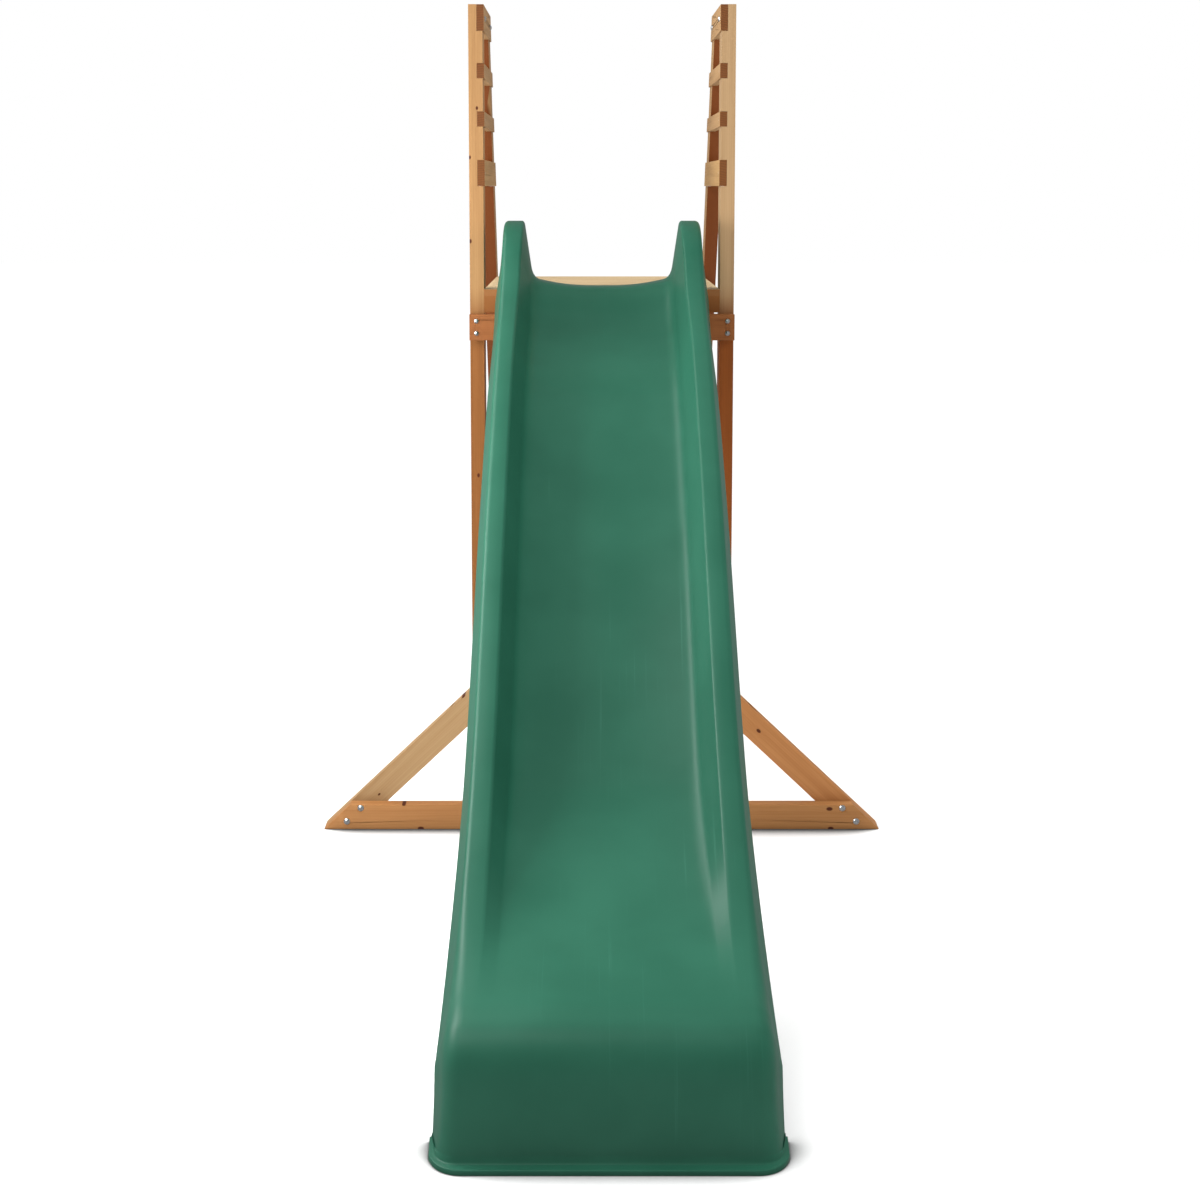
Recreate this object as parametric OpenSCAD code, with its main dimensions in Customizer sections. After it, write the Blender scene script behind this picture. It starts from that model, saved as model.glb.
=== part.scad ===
// Wave slide on a free-standing timber access frame.
// Millimetres, +Z up. The slide runs out towards -Y and the ladder stands at +Y.
// Everything is drawn from the front plane of the front posts (y = 0 there) and
// placed() then moves it so that the origin is the centre of the footprint.

/* [Frame] */
// Height of the posts, legs and top boards
post_h = 2260; // [2200:10:2400]
// Overall width of the frame, outside the posts
frame_w = 716; // [700:2:760]
// Thickness of posts, legs and beams
timber_t = 38; // [34:1:40]
// Depth of the posts and legs, front to back
post_d = 90; // [80:1:100]
// Depth of beams and ground braces
beam_h = 70; // [60:1:75]
// Lean of the rear legs from vertical, in degrees
leg_lean = 32; // [28:1:34]
// Distance from the front plane to the rear leg at the top
leg_top_y = 270; // [240:5:300]

/* [Side boards] */
// Thickness of the side boards
board_t = 20; // [18:1:22]
// Depth of the notch that holds a side board
notch_d = 16; // [12:1:18]
// Height of the top board
top_board_h = 70; // [60:1:75]
// Height of a guard slat
slat_h = 40; // [35:1:50]
// Height of the lowest guard board
guard_board_h = 70; // [60:1:75]
// Bottom of the upper guard slat
upper_slat_z = 2065; // [2050:5:2080]
// Bottom of the lower guard slat
lower_slat_z = 1937; // [1920:1:1950]
// Bottom of the lowest guard board
guard_board_z = 1778; // [1760:1:1790]

/* [Deck] */
// Height of the deck's top face
deck_z = 1500; // [1490:5:1510]
// Thickness of the deck boards
deck_t = 18; // [18:1:22]
// Number of deck boards
deck_count = 8; // [6:1:8]
// Width of a deck board
deck_board_w = 90; // [80:1:92]
// Gap between deck boards
deck_gap = 7; // [4:1:8]
// Height of the deck bearers
bearer_h = 45; // [40:1:48]

/* [Ladder] */
// Number of ladder treads
tread_count = 5; // [4:1:5]
// Thickness of a tread
tread_t = 28; // [24:1:32]
// Depth of a tread
tread_d = 90; // [80:5:100]

/* [Ground frame] */
// Half the length of the ground beam, at its bottom edge
ground_half = 773; // [740:1:800]
// Slope of the ground braces, in degrees
brace_angle = 43.5; // [40:0.5:45]

/* [Slide] */
// Wall thickness of the moulded chute
chute_t = 6; // [5:0.5:7]
// Half width of the bed at the entry, to the foot of the side wall
bed_half = 187; // [180:1:195]
// Half width of the flat middle of the bed
bed_flat = 30; // [20:1:90]
// Inner edge of the side rail's top, from the centre line
rail_in = 219; // [212:1:224]
// Outer edge of the side rail's top, from the centre line
rail_out = 263; // [255:1:268]
// Bottom edge of the outer skirt, from the centre line
skirt_out = 286.5; // [280:0.5:292]
// Rise of the bed from its middle to its edges
bed_dish = 20; // [12:1:22]
// Widening of the chute from the entry to the exit
chute_flare = 0.145; // [0.12:0.005:0.15]
// Reach of the foot flange in front of the nose
flange_front = 30; // [20:1:35]
// Reach of the foot flange beside the nose
flange_side = 12; // [10:1:18]
// Thickness of the foot flange
flange_t = 10; // [8:1:12]

/* [Fasteners] */
// Diameter of the bolts
bolt_d = 8; // [6:1:8]
// Head diameter of the ground beam bolts
ground_head_d = 18; // [16:1:20]
// Head diameter of the other bolts
bolt_head_d = 16; // [14:1:18]
// Head diameter of the cross beam screws
cross_head_d = 14; // [12:1:16]
// Shank diameter of the wood screws
screw_d = 5; // [4:0.5:5]
// Head diameter of the wood screws
screw_head_d = 10; // [9:0.5:11]
// Radial gap between a fastener and its hole
hole_gap = 0.2; // [0.15:0.05:0.3]

/* [Hidden] */
$fn = 40;

pine = [0.80, 0.60, 0.36];
green = [0.23, 0.50, 0.41];
zinc = [0.72, 0.73, 0.74];
fit = 0.25;
weld = 0.01;
beam_gap = 3;

// Frame positions
outer_x = frame_w / 2;
inner_x = outer_x - timber_t;
board_x = outer_x - timber_t + notch_d - board_t;
post_mid_x = outer_x - timber_t / 2;
leg_span = post_d / cos(leg_lean);
function leg_front(z) = leg_top_y + (post_h - z) * tan(leg_lean);
function leg_rear(z) = leg_front(z) + leg_span;
function leg_mid(z) = leg_front(z) + leg_span / 2;
bearer_z = deck_z - deck_t - bearer_h;
cross_beam_z = bearer_z - beam_gap - beam_h;
rear_beam_z = bearer_z - beam_h;
rear_beam_y = leg_mid(rear_beam_z + beam_h / 2) - timber_t / 2;
tread_step = deck_z / (tread_count + 1);
side_board_z = [post_h - top_board_h, upper_slat_z, lower_slat_z, guard_board_z];
side_board_h = [top_board_h, slat_h, slat_h, guard_board_h];

// Ground frame positions
brace_rise = (ground_half - outer_x) * tan(brace_angle);
brace_drop = beam_h / cos(brace_angle);
ground_bolt_at = [[670, 60], [709, 22]];
post_bolt_z = 35;
brace_screw_down = 62;
brace_screw_z = brace_rise - brace_screw_down;
brace_screw_in = 40;
brace_screw_grip = 32;
brace_bore_l = 120;

// Fastener positions
cross_screw_z = [for (rise = [19, 52]) cross_beam_z + rise];
top_bolt_z = post_h - top_board_h / 2;
bearer_bolt_z = bearer_z + bearer_h / 2;
// Shanks stop short of a far face, blind holes run on past a shank, and cutters
// start outside a face
shank_short = 1;
hole_over = 2;
cut = 1;
post_screw_l = 90;
guard_screw_l = 37;
deck_screw_l = 45;
deck_screw_in = 22;
tread_screw_l = 78;
tread_screw_out = 24;
rear_screw_l = 88;
rear_screw_rise = [18, 52];
slide_screw_l = 22;
dome_h = 4.5;
dome_facets = 64;
screw_flush = 0.6;
counterbore_r = 13;
counterbore_d = 11;
nut_t = 6;
nut_across = 15;
washer_t = 1.6;
washer_r = 10;
deck_screw_x = inner_x - timber_t / 2;
slide_screw_x = 50;
slide_screw_y = 48;

// Slide line, from the back of the entry lip to the foot: run in front of the posts,
// height of the bed, height of the side rails over it, depth of the skirt under it
lip_z = deck_z + chute_t;
stations = [
  [-100, lip_z, 60, chute_t],
  [-85, lip_z, 132, chute_t],
  [-50, lip_z, 172, chute_t],
  [10, lip_z, 172, chute_t],
  [48, lip_z - 24, 148, 15],
  [92, lip_z - 72, 147, 20],
  [150, lip_z - 122, 142, 20],
  [230, lip_z - 170, 128, 20],
  [330, lip_z - 228, 121, 20],
  [430, lip_z - 304, 120, 20],
  [560, lip_z - 422, 120, 20],
  [700, lip_z - 552, 120, 20],
  [830, lip_z - 690, 120, 20],
  [950, lip_z - 820, 120, 20],
  [1060, lip_z - 934, 118, 20],
  [1170, lip_z - 1030, 111, 21],
  [1290, lip_z - 1103, 92, 24],
  [1430, lip_z - 1168, 60, 34],
  [1580, lip_z - 1217, 24, 55],
  [1720, lip_z - 1248, 5, 82],
  [1800, lip_z - 1262, 1, 95],
  [1850, lip_z - 1280, 0, 100],
  [1890, lip_z - 1322, 0, 100],
  [1912, lip_z - 1392, 0, 100],
  [1925, 45, 0, 100],
  [1930, flange_t, 0, 100]
];
flare_run = 1930;
hem_tuck = 13;
hem_flare_d = 9;
// Rails taller than this lean in, by up to this much over this extra height
horn_h = 120;
horn_in = 9;
horn_extra = 52;
// Rails lower than this fade into the bed
fade_h = 60;
// Height of the curled bed at its middle and outer points, as shares of the dish, and
// the shares of the side wall taken up by its two rounded ends
bed_curl = [0.3, 0.75];
wall_blend = [0.22, 0.1];
nose_crisp = 0.8;
rail_crown = 1.5;
rail_round = 11;
bed_round = 26;
// The nose: where its corners start and stop growing, and how far they reach round
nose_start = 1480;
nose_full = 1850;
nose_round = [26, 38];
// The foot spreads below this height, by this much in front and at the sides
spread_h = 130;
spread_front = 5;
spread_side = 12;
hem_share = 0.35;
steps_per_station = 2;
end_wall = 6;
plug_taper = 0.985;
ring_gap = 0.5;

slide_front = stations[len(stations) - 1][0] + flange_front;
plane_y = (slide_front - leg_rear(0)) / 2;

// Puts a piece drawn from the front plane into the model's frame
module placed() {
  translate([0, plane_y, 0]) children();
}

// Draws a right-hand piece on the chosen side: 1 is right, -1 is left
module on_side(side) {
  if (side > 0) children();
  else mirror([1, 0, 0]) children();
}

// Extrudes a [y, z] outline along +X from x0
module side_plate(x0, thickness) {
  translate([x0, 0, 0]) rotate([90, 0, 90]) linear_extrude(thickness) children();
}

// Extrudes an [x, z] outline towards -Y from y0
module front_plate(y0, thickness) {
  translate([0, y0, 0]) rotate([90, 0, 0]) linear_extrude(thickness) children();
}

// ---------- Fasteners, along -Z with the seat of the head at z = 0 ----------

// Low domed head
module dome(r, h) {
  ball = (r * r + h * h) / (2 * h);
  intersection() {
    translate([0, 0, h - ball]) sphere(ball, $fn = dome_facets);
    cylinder(h = h, r = r);
  }
}

module bolt(length, head_d) {
  dome(head_d / 2, dome_h);
  translate([0, 0, -length]) cylinder(h = length + shank_short / 2, d = bolt_d);
}

module bolt_hole(length) {
  translate([0, 0, -length]) cylinder(h = length + cut, d = bolt_d + 2 * hole_gap);
}

// Countersunk wood screw, flush with the face at z = 0
module screw(length) {
  sink = (screw_head_d - screw_d) / 2;
  translate([0, 0, -sink - screw_flush]) cylinder(h = sink, d1 = screw_d, d2 = screw_head_d);
  translate([0, 0, -screw_flush]) cylinder(h = screw_flush - hole_gap, d = screw_head_d);
  translate([0, 0, -length]) cylinder(h = length - sink - screw_flush + hole_gap, d = screw_d);
}

module screw_hole(length) {
  sink = (screw_head_d - screw_d) / 2;
  wide = screw_head_d + 2 * hole_gap;
  seat = screw_flush + hole_gap;
  translate([0, 0, -sink - seat]) cylinder(h = sink + weld, d1 = screw_d + 2 * hole_gap, d2 = wide);
  translate([0, 0, -seat]) cylinder(h = seat + cut, d = wide);
  translate([0, 0, -length - hole_gap]) cylinder(h = length, d = screw_d + 2 * hole_gap);
}

module hex_nut() {
  difference() {
    cylinder(h = nut_t, d = nut_across, $fn = 6);
    translate([0, 0, -cut]) cylinder(h = nut_t + 2 * cut, d = bolt_d + 2 * hole_gap);
  }
}

module flat_washer() {
  difference() {
    cylinder(h = washer_t, r = washer_r);
    translate([0, 0, -cut]) cylinder(h = washer_t + 2 * cut, d = bolt_d + 2 * hole_gap);
  }
}

// Turns a fastener so that it drives towards +X, or towards +Y
module drive_x(p) {
  translate(p) rotate([0, -90, 0]) children();
}

module drive_y(p) {
  translate(p) rotate([90, 0, 0]) children();
}

// Right-hand places of the bolts that run sideways: [start point, length]
top_bolts = [for (y = [post_d / 2, leg_mid(top_bolt_z)]) [board_x, y, top_bolt_z]];
bearer_bolt_points = [for (y = [post_d / 2, leg_mid(bearer_bolt_z)]) [inner_x - timber_t, y, bearer_bolt_z]];
recess_floor = outer_x - counterbore_d;
guard_screw_points = [
  for (i = [1 : 3])
    for (y = [post_d / 2, leg_mid(side_board_z[i] + side_board_h[i] / 2)])
      [board_x, y, side_board_z[i] + side_board_h[i] / 2]
];

// Hole for the screw that runs through the brace into the post
module brace_screw_hole() {
  translate([outer_x + brace_screw_in, timber_t / 2, brace_screw_z]) rotate([0, 90, 0])
    bolt_hole(brace_screw_in + brace_screw_grip + hole_over);
}

module side_bolt_holes() {
  for (p = concat(top_bolts, bearer_bolt_points)) {
    drive_x(p) bolt_hole(outer_x - p[0] + cut);
    translate([recess_floor, p[1], p[2]]) rotate([0, 90, 0])
      cylinder(h = counterbore_d + cut, r = counterbore_r);
  }
  for (p = guard_screw_points) drive_x(p) screw_hole(guard_screw_l);
}

// ---------- Timber frame ----------

// Notches in the inner face for the four side boards
module board_notches() {
  reach = leg_rear(guard_board_z) + 20 * cut;
  for (i = [0 : 3])
    translate([inner_x - cut, -cut, side_board_z[i] - fit])
      cube([notch_d + cut + fit, reach, side_board_h[i] + 2 * fit + (i == 0 ? 5 * cut : 0)]);
}

module front_post(side) {
  color(pine) placed() on_side(side) difference() {
    translate([inner_x, 0, 0]) cube([timber_t, post_d, post_h]);
    board_notches();
    side_bolt_holes();
    for (z = cross_screw_z) drive_y([post_mid_x, -timber_t, z]) bolt_hole(post_screw_l + hole_over);
    drive_y([post_mid_x, -timber_t, post_bolt_z]) bolt_hole(post_screw_l + hole_over);
    brace_screw_hole();
  }
}

module rear_leg(side) {
  color(pine) placed() on_side(side) difference() {
    side_plate(inner_x, timber_t) polygon([
      [leg_front(0), 0], [leg_rear(0), 0], [leg_rear(post_h), post_h], [leg_front(post_h), post_h]
    ]);
    board_notches();
    side_bolt_holes();
    for (p = tread_screw_points) translate(p) rotate([0, 90, 0]) screw_hole(tread_screw_l);
    for (p = rear_beam_screw_points) translate(p) rotate([0, 90, 0]) screw_hole(rear_screw_l);
  }
}

// One side board, flush with the post's front and cut to the leg's slope at the back
module side_board(side, i) {
  z0 = side_board_z[i];
  z1 = z0 + side_board_h[i];
  color(pine) placed() on_side(side) difference() {
    side_plate(board_x, board_t) polygon([[0, z0], [leg_rear(z0), z0], [leg_rear(z1), z1], [0, z1]]);
    if (i == 0) for (p = top_bolts) drive_x(p) bolt_hole(board_t + hole_over);
    else for (p = guard_screw_points) drive_x(p) screw_hole(guard_screw_l);
  }
}

module deck_bearer(side) {
  z1 = bearer_z + bearer_h;
  color(pine) placed() on_side(side) difference() {
    side_plate(inner_x - timber_t, timber_t - fit) polygon([
      [0, bearer_z], [leg_rear(bearer_z), bearer_z], [leg_rear(z1), z1], [0, z1]
    ]);
    for (p = bearer_bolt_points) drive_x(p) bolt_hole(timber_t + hole_over);
    for (p = deck_screw_points) translate(p) screw_hole(deck_screw_l);
  }
}

module front_cross_beam() {
  color(pine) placed() difference() {
    translate([-outer_x, -timber_t, cross_beam_z]) cube([frame_w, timber_t, beam_h]);
    for (s = [-1, 1])
      for (z = cross_screw_z) drive_y([s * post_mid_x, -timber_t, z]) bolt_hole(timber_t + hole_over);
  }
}

module rear_cross_beam() {
  color(pine) placed() difference() {
    translate([-inner_x, rear_beam_y, rear_beam_z]) cube([2 * inner_x, timber_t, beam_h]);
    for (s = [-1, 1])
      on_side(s) for (p = rear_beam_screw_points) translate(p) rotate([0, 90, 0]) screw_hole(rear_screw_l);
  }
}

// ---------- Deck and ladder ----------

function deck_board_y(i) = i * (deck_board_w + deck_gap);
deck_screw_points = [
  for (i = [0 : deck_count - 1])
    for (y = [deck_screw_in, deck_board_w - deck_screw_in]) [deck_screw_x, deck_board_y(i) + y, deck_z]
];

module deck_board(number) {
  y0 = deck_board_y(number - 1);
  color(pine) placed() difference() {
    translate([-inner_x + fit, y0, deck_z - deck_t]) cube([2 * (inner_x - fit), deck_board_w, deck_t]);
    for (s = [-1, 1])
      on_side(s) for (y = [deck_screw_in, deck_board_w - deck_screw_in])
        translate([deck_screw_x, y0 + y, deck_z]) screw_hole(deck_screw_l);
    if (number == 1)
      for (s = [-1, 1]) translate([s * slide_screw_x, slide_screw_y, lip_z]) screw_hole(slide_screw_l);
  }
}

function tread_z(i) = tread_step * i;
tread_screw_points = [
  for (i = [1 : tread_count])
    for (dy = [-tread_screw_out, tread_screw_out])
      let (z = tread_z(i) - tread_t / 2) [outer_x, leg_mid(z) + dy, z]
];

// Tread let in between the legs, its top face level
module ladder_tread(number) {
  z = tread_z(number) - tread_t;
  y = leg_mid(z + tread_t / 2);
  color(pine) placed() difference() {
    translate([-inner_x + fit, y - tread_d / 2, z]) cube([2 * (inner_x - fit), tread_d, tread_t]);
    for (s = [-1, 1])
      on_side(s) for (dy = [-tread_screw_out, tread_screw_out])
        translate([outer_x, y + dy, z + tread_t / 2]) rotate([0, 90, 0]) screw_hole(tread_screw_l);
  }
}

rear_beam_screw_points = [
  for (dz = rear_screw_rise) [outer_x, rear_beam_y + timber_t / 2, rear_beam_z + dz]
];

// ---------- Ground frame ----------

module ground_beam() {
  slant = beam_h / tan(brace_angle);
  color(pine) placed() difference() {
    front_plate(0, timber_t) polygon([
      [-ground_half, 0], [ground_half, 0], [ground_half - slant, beam_h], [slant - ground_half, beam_h]
    ]);
    for (s = [-1, 1]) {
      for (p = ground_bolt_at) drive_y([s * p[0], -timber_t, p[1]]) bolt_hole(timber_t + hole_over);
      drive_y([s * post_mid_x, -timber_t, post_bolt_z]) bolt_hole(timber_t + hole_over);
    }
  }
}

// Sloping brace from the end of the ground beam up to the outside of the post
module ground_brace(side) {
  foot = brace_drop / tan(brace_angle);
  color(pine) placed() on_side(side) difference() {
    front_plate(timber_t, timber_t) polygon([
      [ground_half, 0], [outer_x, brace_rise], [outer_x, brace_rise - brace_drop], [ground_half - foot, 0]
    ]);
    for (p = ground_bolt_at) {
      drive_y([p[0], -timber_t, p[1]]) bolt_hole(2 * timber_t + hole_over);
      translate([p[0], timber_t - counterbore_d, p[1]]) rotate([-90, 0, 0])
        cylinder(h = counterbore_d + cut, r = counterbore_r);
    }
    brace_screw_hole();
    translate([outer_x + brace_screw_in, timber_t / 2, brace_screw_z]) rotate([0, 90, 0])
      cylinder(h = brace_bore_l, r = counterbore_r);
  }
}

// ---------- Fastener groups ----------

module ground_beam_bolts() {
  color(zinc) placed() for (s = [-1, 1]) {
    for (p = ground_bolt_at)
      drive_y([s * p[0], -timber_t - fit, p[1]]) bolt(2 * timber_t - shank_short, ground_head_d);
    drive_y([s * post_mid_x, -timber_t - fit, post_bolt_z]) bolt(post_screw_l, ground_head_d);
  }
}

module cross_beam_screws() {
  color(zinc) placed() for (s = [-1, 1])
    for (z = cross_screw_z)
      drive_y([s * post_mid_x, -timber_t - fit, z]) bolt(post_screw_l, cross_head_d);
}

module top_board_bolts() {
  color(zinc) placed() for (s = [-1, 1])
    on_side(s) for (p = top_bolts)
      drive_x([p[0] - fit, p[1], p[2]]) bolt(outer_x - p[0] - shank_short, bolt_head_d);
}

module bearer_bolts() {
  color(zinc) placed() for (s = [-1, 1])
    on_side(s) for (p = bearer_bolt_points)
      drive_x([p[0] - fit, p[1], p[2]]) bolt(outer_x - p[0] - shank_short, bolt_head_d);
}

// Right-hand places of the nuts in counterbores: bolts through posts and legs
recess_points = concat(top_bolts, bearer_bolt_points);

module recessed_nuts() {
  color(zinc) placed() for (s = [-1, 1]) on_side(s) {
    for (p = recess_points)
      translate([recess_floor + washer_t + 2 * fit, p[1], p[2]]) rotate([0, 90, 0]) hex_nut();
    for (p = ground_bolt_at)
      translate([p[0], timber_t - counterbore_d + washer_t + 2 * fit, p[1]]) rotate([-90, 0, 0]) hex_nut();
  }
}

module recessed_washers() {
  color(zinc) placed() for (s = [-1, 1]) on_side(s) {
    for (p = recess_points)
      translate([recess_floor + fit, p[1], p[2]]) rotate([0, 90, 0]) flat_washer();
    for (p = ground_bolt_at)
      translate([p[0], timber_t - counterbore_d + fit, p[1]]) rotate([-90, 0, 0]) flat_washer();
  }
}

module guard_screws() {
  color(zinc) placed() for (s = [-1, 1])
    on_side(s) for (p = guard_screw_points) drive_x(p) screw(guard_screw_l);
}

module deck_screws() {
  color(zinc) placed() for (s = [-1, 1])
    on_side(s) for (p = deck_screw_points) translate(p) screw(deck_screw_l);
}

module tread_screws() {
  color(zinc) placed() for (s = [-1, 1])
    on_side(s) for (p = tread_screw_points) translate(p) rotate([0, 90, 0]) screw(tread_screw_l);
}

module rear_beam_screws() {
  color(zinc) placed() for (s = [-1, 1])
    on_side(s) for (p = rear_beam_screw_points) translate(p) rotate([0, 90, 0]) screw(rear_screw_l);
}

module brace_screws() {
  color(zinc) placed() for (s = [-1, 1])
    on_side(s) translate([outer_x + brace_screw_in + fit, timber_t / 2, brace_screw_z])
      rotate([0, 90, 0]) bolt(brace_screw_in + brace_screw_grip, bolt_head_d);
}

module slide_screws() {
  color(zinc) placed() for (s = [-1, 1])
    translate([s * slide_screw_x, slide_screw_y, lip_z]) screw(slide_screw_l);
}

// ---------- Slide chute ----------

// Smooth curve through the stations
function blend4(a, b, c, d, t) =
  0.5 * (2 * b + (c - a) * t + (2 * a - 5 * b + 4 * c - d) * t * t + (3 * b - a - 3 * c + d) * t * t * t);
function at_station(i) = stations[max(0, min(len(stations) - 1, i))];
line = [
  for (i = [0 : len(stations) - 2])
    for (k = [0 : steps_per_station - 1])
      blend4(at_station(i - 1), at_station(i), at_station(i + 1), at_station(i + 2), k / steps_per_station),
  at_station(len(stations) - 1)
];
last = len(line) - 1;

// Direction of the line at point i, in the run and height plane
function heading(i) =
  i == 0 ? [1, 0] :
  i == last ? [0, -1] :
  (line[i + 1] - line[i - 1]) * [[1, 0], [0, 1], [0, 0], [0, 0]];

// Points of a rounded corner from a to c around b
function rounded(a, b, c, steps = 2) =
  [for (i = [0 : steps]) let (t = i / steps) (1 - t) * (1 - t) * a + 2 * t * (1 - t) * b + t * t * c];

// Right half of the upper skin at one point of the line: [distance from centre, height]
function half_section(s) =
  let (
    k = 1 + chute_flare * max(0, min(s[0], flare_run)) / flare_run,
    rail = s[2],
    fade = min(1, rail / fade_h),
    dish = bed_dish * fade,
    inner = rail_in - horn_in * max(0, min(1, (rail - horn_h) / horn_extra)),
    foot = [bed_half, dish],
    top_in = [inner, rail],
    top_out = [rail_out, rail],
    crown = rail_crown * fade,
    flare = min(1, (s[3] - chute_t) / hem_flare_d),
    hem = [skirt_out - hem_tuck * (1 - flare), -s[3]],
    wall = top_in - foot,
    skirt = (hem - top_out) / norm(hem - top_out),
    nose = max(0, min(1, (s[0] - nose_start) / (nose_full - nose_start))),
    round_in = rail_round * (1 - nose_crisp * nose),
    round_out = [rail_round, rail_round] + nose * (nose_round - [rail_round, rail_round]),
    mid = (bed_flat + bed_half - bed_round) / 2,
    rise = dish * bed_curl[1]
  )
  [for (p = concat(
    [[0, 0], [bed_flat, 0], [mid, rise * bed_curl[0]]],
    rounded([bed_half - bed_round, rise], foot, foot + wall * wall_blend[0]),
    rounded(top_in - wall * wall_blend[1], top_in, top_in + [round_in, crown]),
    rounded(top_out - [round_out[0], -crown], top_out, top_out + skirt * round_out[1], 4),
    [hem]
  )) [p[0] * k, p[1]]];

// Unit normal of an open outline at point i, on the upper side
function outline_normal(o, i) =
  let (d = o[min(len(o) - 1, i + 1)] - o[max(0, i - 1)])
  [-d[1], d[0]] / norm(d);

// An outline moved outwards, by one amount in front and another at the sides, and by
// only a share of it at the two hems
function widened(o, front, side) = [
  for (i = [0 : len(o) - 1])
    let (
      q = outline_normal(o, i),
      f = abs(q[0]),
      share = i == 0 || i == len(o) - 1 ? hem_share : 1
    )
    o[i] + q * share * (front * (1 - f) + side * f)
];

// How far the foot has spread at a point of the line: 0 above it, 1 on the ground
function spread(s) = pow(max(0, 1 - s[1] / spread_h), 2);

// Both skins of one ring, as one closed loop of [across, over] points. A closed ring
// fills the hollow of the rails down to the deck; flange, 0 or 1, widens the upper skin.
function ring_loop(s, closed, flange) =
  let (
    h = half_section(s),
    n = len(h),
    plain = concat([for (i = [n - 1 : -1 : 1]) [-h[i][0], h[i][1]]], h),
    skin = widened(plain, spread_front * spread(s), spread_side * spread(s)),
    m = len(skin),
    upper = widened(skin, (flange_front - spread_front) * flange, flange_side * flange),
    lower = [
      for (i = [m - 1 : -1 : 0])
        closed && i > 0 && i < m - 1
          ? [skin[i][0] * plug_taper, -chute_t]
          : (i == 0 || i == m - 1
            ? [skin[i][0] - sign(skin[i][0]) * chute_t, skin[i][1]]
            : skin[i] - outline_normal(skin, i) * chute_t)
    ]
  )
  concat(upper, lower);

// Places a loop across the line at a point with the given direction
function stand(loop, s, d) =
  let (u = d / norm(d))
  [for (p = loop) [p[0], -(s[0] - u[1] * p[1]), s[1] + u[0] * p[1]]];

function lowered(ring, z) = [for (p = ring) [p[0], p[1], z]];

body_rings = [for (i = [0 : last]) stand(ring_loop(line[i], false, 0), line[i], heading(i))];
back_end = line[0] - [end_wall, 0, 0, 0];
back_rings = [
  stand(ring_loop(line[0], true, 0), back_end, [1, 0]),
  stand(ring_loop(line[0], true, 0), line[0] - [ring_gap, 0, 0, 0], [1, 0])
];
foot_loop = stand(ring_loop(line[last], false, 1), line[last], [0, -1]);
foot_rings = [lowered(foot_loop, flange_t - ring_gap), lowered(foot_loop, 0)];
rings = concat(back_rings, body_rings, foot_rings);

module slide_chute() {
  n = len(rings[0]);
  count = len(rings);
  points = [for (r = rings) each r];
  sides = [
    for (r = [0 : count - 2])
      for (j = [0 : n - 1])
        let (a = r * n + j, b = r * n + (j + 1) % n)
        each [[a, b, b + n], [a, b + n, a + n]]
  ];
  half = n / 2;
  cap = [for (j = [0 : half - 2]) each [[j, n - 1 - j, n - 2 - j], [j, n - 2 - j, j + 1]]];
  far = (count - 1) * n;
  end_cap = [for (t = cap) [far + t[0], far + t[2], far + t[1]]];
  color(green) placed() difference() {
    polyhedron(points = points, faces = concat(sides, cap, end_cap));
    for (s = [-1, 1])
      translate([s * slide_screw_x, slide_screw_y, lip_z]) screw_hole(slide_screw_l);
  }
}

slide_chute();
front_post(-1);  // front_post_left
front_post(1);  // front_post_right
rear_leg(-1);  // rear_leg_left
rear_leg(1);  // rear_leg_right
side_board(-1, 0);  // top_board_left
side_board(1, 0);  // top_board_right
side_board(-1, 1);  // upper_slat_left
side_board(1, 1);  // upper_slat_right
side_board(-1, 2);  // lower_slat_left
side_board(1, 2);  // lower_slat_right
side_board(-1, 3);  // guard_board_left
side_board(1, 3);  // guard_board_right
deck_bearer(-1);  // deck_bearer_left
deck_bearer(1);  // deck_bearer_right
front_cross_beam();
rear_cross_beam();
deck_board(1);  // deck_board_1
deck_board(2);  // deck_board_2
deck_board(3);  // deck_board_3
deck_board(4);  // deck_board_4
deck_board(5);  // deck_board_5
deck_board(6);  // deck_board_6
deck_board(7);  // deck_board_7
deck_board(8);  // deck_board_8
ladder_tread(1);  // ladder_tread_1
ladder_tread(2);  // ladder_tread_2
ladder_tread(3);  // ladder_tread_3
ladder_tread(4);  // ladder_tread_4
ladder_tread(5);  // ladder_tread_5
ground_beam();
ground_brace(-1);  // ground_brace_left
ground_brace(1);  // ground_brace_right
ground_beam_bolts();
cross_beam_screws();
top_board_bolts();
bearer_bolts();
recessed_nuts();
recessed_washers();
guard_screws();
deck_screws();
tread_screws();
rear_beam_screws();
brace_screws();
slide_screws();
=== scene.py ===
import math

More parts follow.
